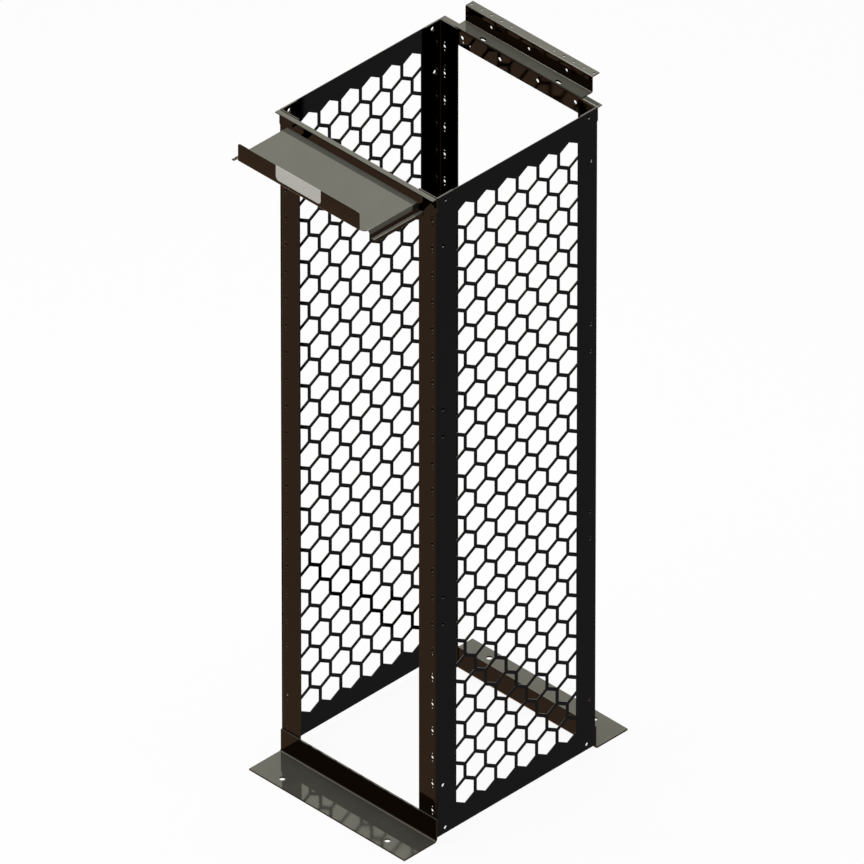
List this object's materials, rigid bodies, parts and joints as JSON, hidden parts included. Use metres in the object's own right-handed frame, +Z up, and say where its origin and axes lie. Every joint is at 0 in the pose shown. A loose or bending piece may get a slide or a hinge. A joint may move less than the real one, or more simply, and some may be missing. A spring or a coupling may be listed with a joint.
{
  "type": "four post open frame rack",
  "caption": "Tall open floor rack with perforated side panels, floor and top angles, an overhead bracket and a small lipped shelf.",
  "frame": {"origin": "on the floor, midway between the four anchor holes", "axes": "+X to the right as seen from the shelf's side, +Y from the shelf to the back, +Z up"},
  "size_m": [0.6, 0.9656, 2.1866],
  "materials": {
    "black_enamel": "gloss black enamel",
    "label_stock": "blank off-white plate"
  },
  "bodies": {
    "root": {"post_front_left": "black_enamel", "post_front_right": "black_enamel", "post_rear_left": "black_enamel", "post_rear_right": "black_enamel", "side_panel_left": "black_enamel", "side_panel_right": "black_enamel", "top_angle_front": "black_enamel", "top_angle_rear": "black_enamel", "base_angle_front": "black_enamel", "base_angle_rear": "black_enamel", "overhead_bracket": "black_enamel", "shelf_tray": "black_enamel", "shelf_arm_left": "black_enamel", "shelf_arm_right": "black_enamel", "label_plate": "label_stock"}
  },
  "joints": []
}
